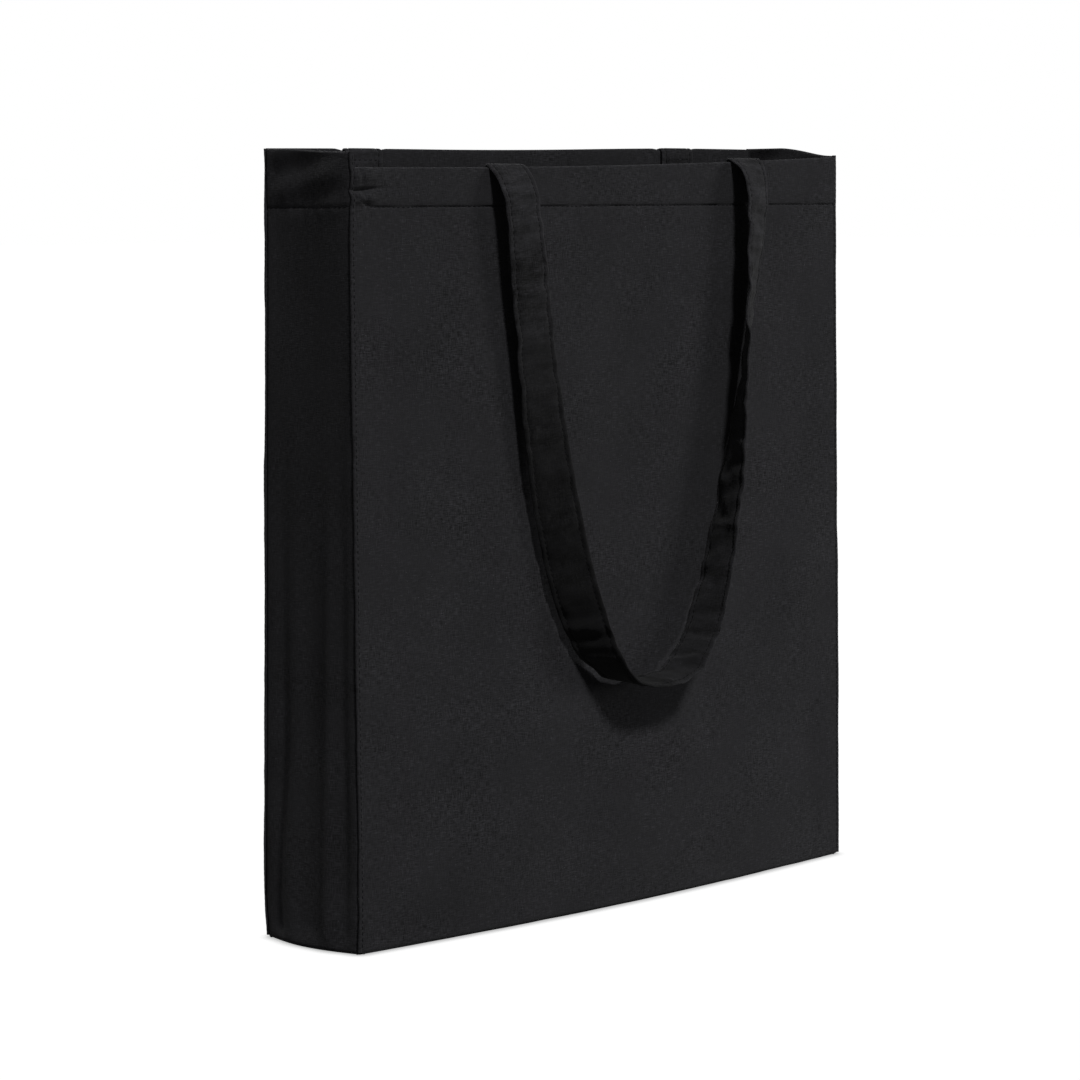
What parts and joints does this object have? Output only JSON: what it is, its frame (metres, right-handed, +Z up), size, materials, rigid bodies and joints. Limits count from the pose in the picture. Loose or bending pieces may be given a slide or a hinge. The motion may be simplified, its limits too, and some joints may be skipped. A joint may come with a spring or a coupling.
{
  "type": "canvas tote bag",
  "caption": "Upright black canvas tote bag with side gussets, a base, a turned hem and long strap handles that swing over the rim; the bag flattens front to back.",
  "frame": {"origin": "middle of the bag's footprint, on the surface it stands on", "axes": "+X to the right along the front panel, -Y towards the front, +Z up"},
  "size_m": [0.3814, 0.135, 0.4244],
  "materials": {
    "panel_canvas": "matt plain-weave cotton canvas, charcoal black",
    "gusset_canvas": "matt plain-weave cotton canvas, charcoal black, soft creases",
    "strap_canvas": "matt folded cotton canvas strap, black",
    "thread": "black sewing thread"
  },
  "bodies": {
    "bag": {"front_panel": "panel_canvas", "front_hem": "panel_canvas", "front_hem_stitching": "thread", "front_handle_end_left": "strap_canvas", "front_handle_end_right": "strap_canvas", "front_box_stitch_left": "thread", "front_box_stitch_right": "thread", "front_seam_left": "panel_canvas", "front_seam_right": "panel_canvas", "front_base_seam": "panel_canvas", "base_panel": "panel_canvas", "left_gusset": "gusset_canvas", "left_hem": "gusset_canvas", "left_hem_stitching": "thread", "left_base_seam": "gusset_canvas", "right_gusset": "gusset_canvas", "right_hem": "gusset_canvas", "right_hem_stitching": "thread", "right_base_seam": "gusset_canvas"},
    "back_side": {"back_panel": "panel_canvas", "back_hem": "panel_canvas", "back_hem_stitching": "thread", "back_handle_end_left": "strap_canvas", "back_handle_end_right": "strap_canvas", "back_box_stitch_left": "thread", "back_box_stitch_right": "thread", "back_seam_left": "panel_canvas", "back_seam_right": "panel_canvas", "back_base_seam": "panel_canvas"},
    "front_handle": {"front_handle": "strap_canvas", "front_handle_stitching_inner": "thread", "front_handle_stitching_outer": "thread"},
    "back_handle": {"back_handle": "strap_canvas", "back_handle_stitching_inner": "thread", "back_handle_stitching_outer": "thread"}
  },
  "joints": [
    {"name": "front_handle_swing", "type": "hinge", "parent": "bag", "child": "front_handle", "pos_m": [0, -0.0378, 0.42], "axis": [-1, 0, 0], "range_deg": [0, 172], "deforming": ["front_handle_end_left", "front_handle_end_right"]},
    {"name": "flatten", "type": "slide", "parent": "bag", "child": "back_side", "axis": [0, -1, 0], "range_m": [0, 0.058], "deforming": ["base_panel", "left_gusset", "left_hem", "left_hem_stitching", "left_base_seam", "right_gusset", "right_hem", "right_hem_stitching", "right_base_seam"]},
    {"name": "back_handle_swing", "type": "hinge", "parent": "back_side", "child": "back_handle", "pos_m": [0, 0.0378, 0.42], "axis": [1, 0, 0], "range_deg": [0, 172], "deforming": ["back_handle_end_left", "back_handle_end_right"]}
  ]
}
